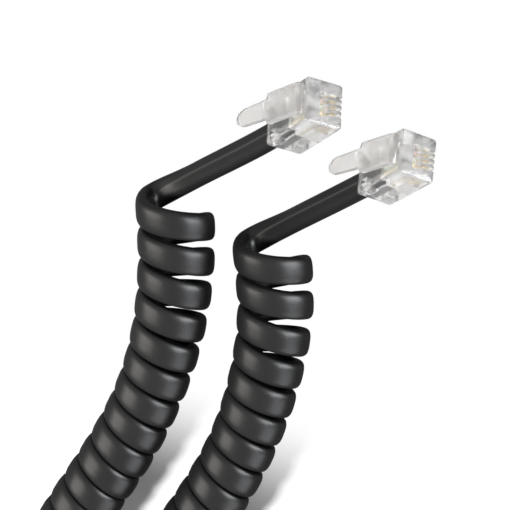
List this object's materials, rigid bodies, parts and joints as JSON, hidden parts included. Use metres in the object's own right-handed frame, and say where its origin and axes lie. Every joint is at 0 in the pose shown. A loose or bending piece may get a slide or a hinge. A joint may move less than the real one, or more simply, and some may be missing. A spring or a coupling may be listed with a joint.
{
  "type": "curly handset cord",
  "caption": "Coiled telephone handset cord: flat black cable wound into a springy coil, with a clear modular plug and sprung latch on each end.",
  "frame": {"origin": "on the floor under the middle of the lying cord's box", "axes": "+X to the right in the picture, +Y up in the picture, from the loop to the plugs, and +Z up from the floor"},
  "size_m": [0.0758, 0.1538, 0.0379],
  "materials": {
    "jacket": "satin black vinyl",
    "clear": "clear moulded",
    "contact": "gold plated",
    "yellow_wire": "satin",
    "green_wire": "satin",
    "red_wire": "satin",
    "black_wire": "satin"
  },
  "bodies": {
    "cord": {"curly_cord": "jacket", "tail_a": "jacket", "tail_b": "jacket", "plug_housing_a": "clear", "plug_housing_b": "clear", "anchor_bar_a": "clear", "anchor_bar_b": "clear", "contact_1_a": "contact", "contact_2_a": "contact", "contact_3_a": "contact", "contact_4_a": "contact", "contact_1_b": "contact", "contact_2_b": "contact", "contact_3_b": "contact", "contact_4_b": "contact", "wire_yellow_a": "yellow_wire", "wire_green_a": "green_wire", "wire_red_a": "red_wire", "wire_black_a": "black_wire", "wire_yellow_b": "yellow_wire", "wire_green_b": "green_wire", "wire_red_b": "red_wire", "wire_black_b": "black_wire"},
    "latch_a": {"latch_a": "clear"},
    "latch_b": {"latch_b": "clear"}
  },
  "joints": [
    {"name": "latch_a_press", "type": "hinge", "parent": "cord", "child": "latch_a", "pos_m": [0.016, 0.07377, 0.0356], "axis": [-0.044, -0.8219, 0.5679], "range_deg": [0, 12], "stiffness_Nm_per_rad": 0.3},
    {"name": "latch_b_press", "type": "hinge", "parent": "cord", "child": "latch_b", "pos_m": [0.03065, 0.06571, 0.0354], "axis": [-0.1135, -0.8023, 0.5861], "range_deg": [0, 12], "stiffness_Nm_per_rad": 0.3}
  ]
}
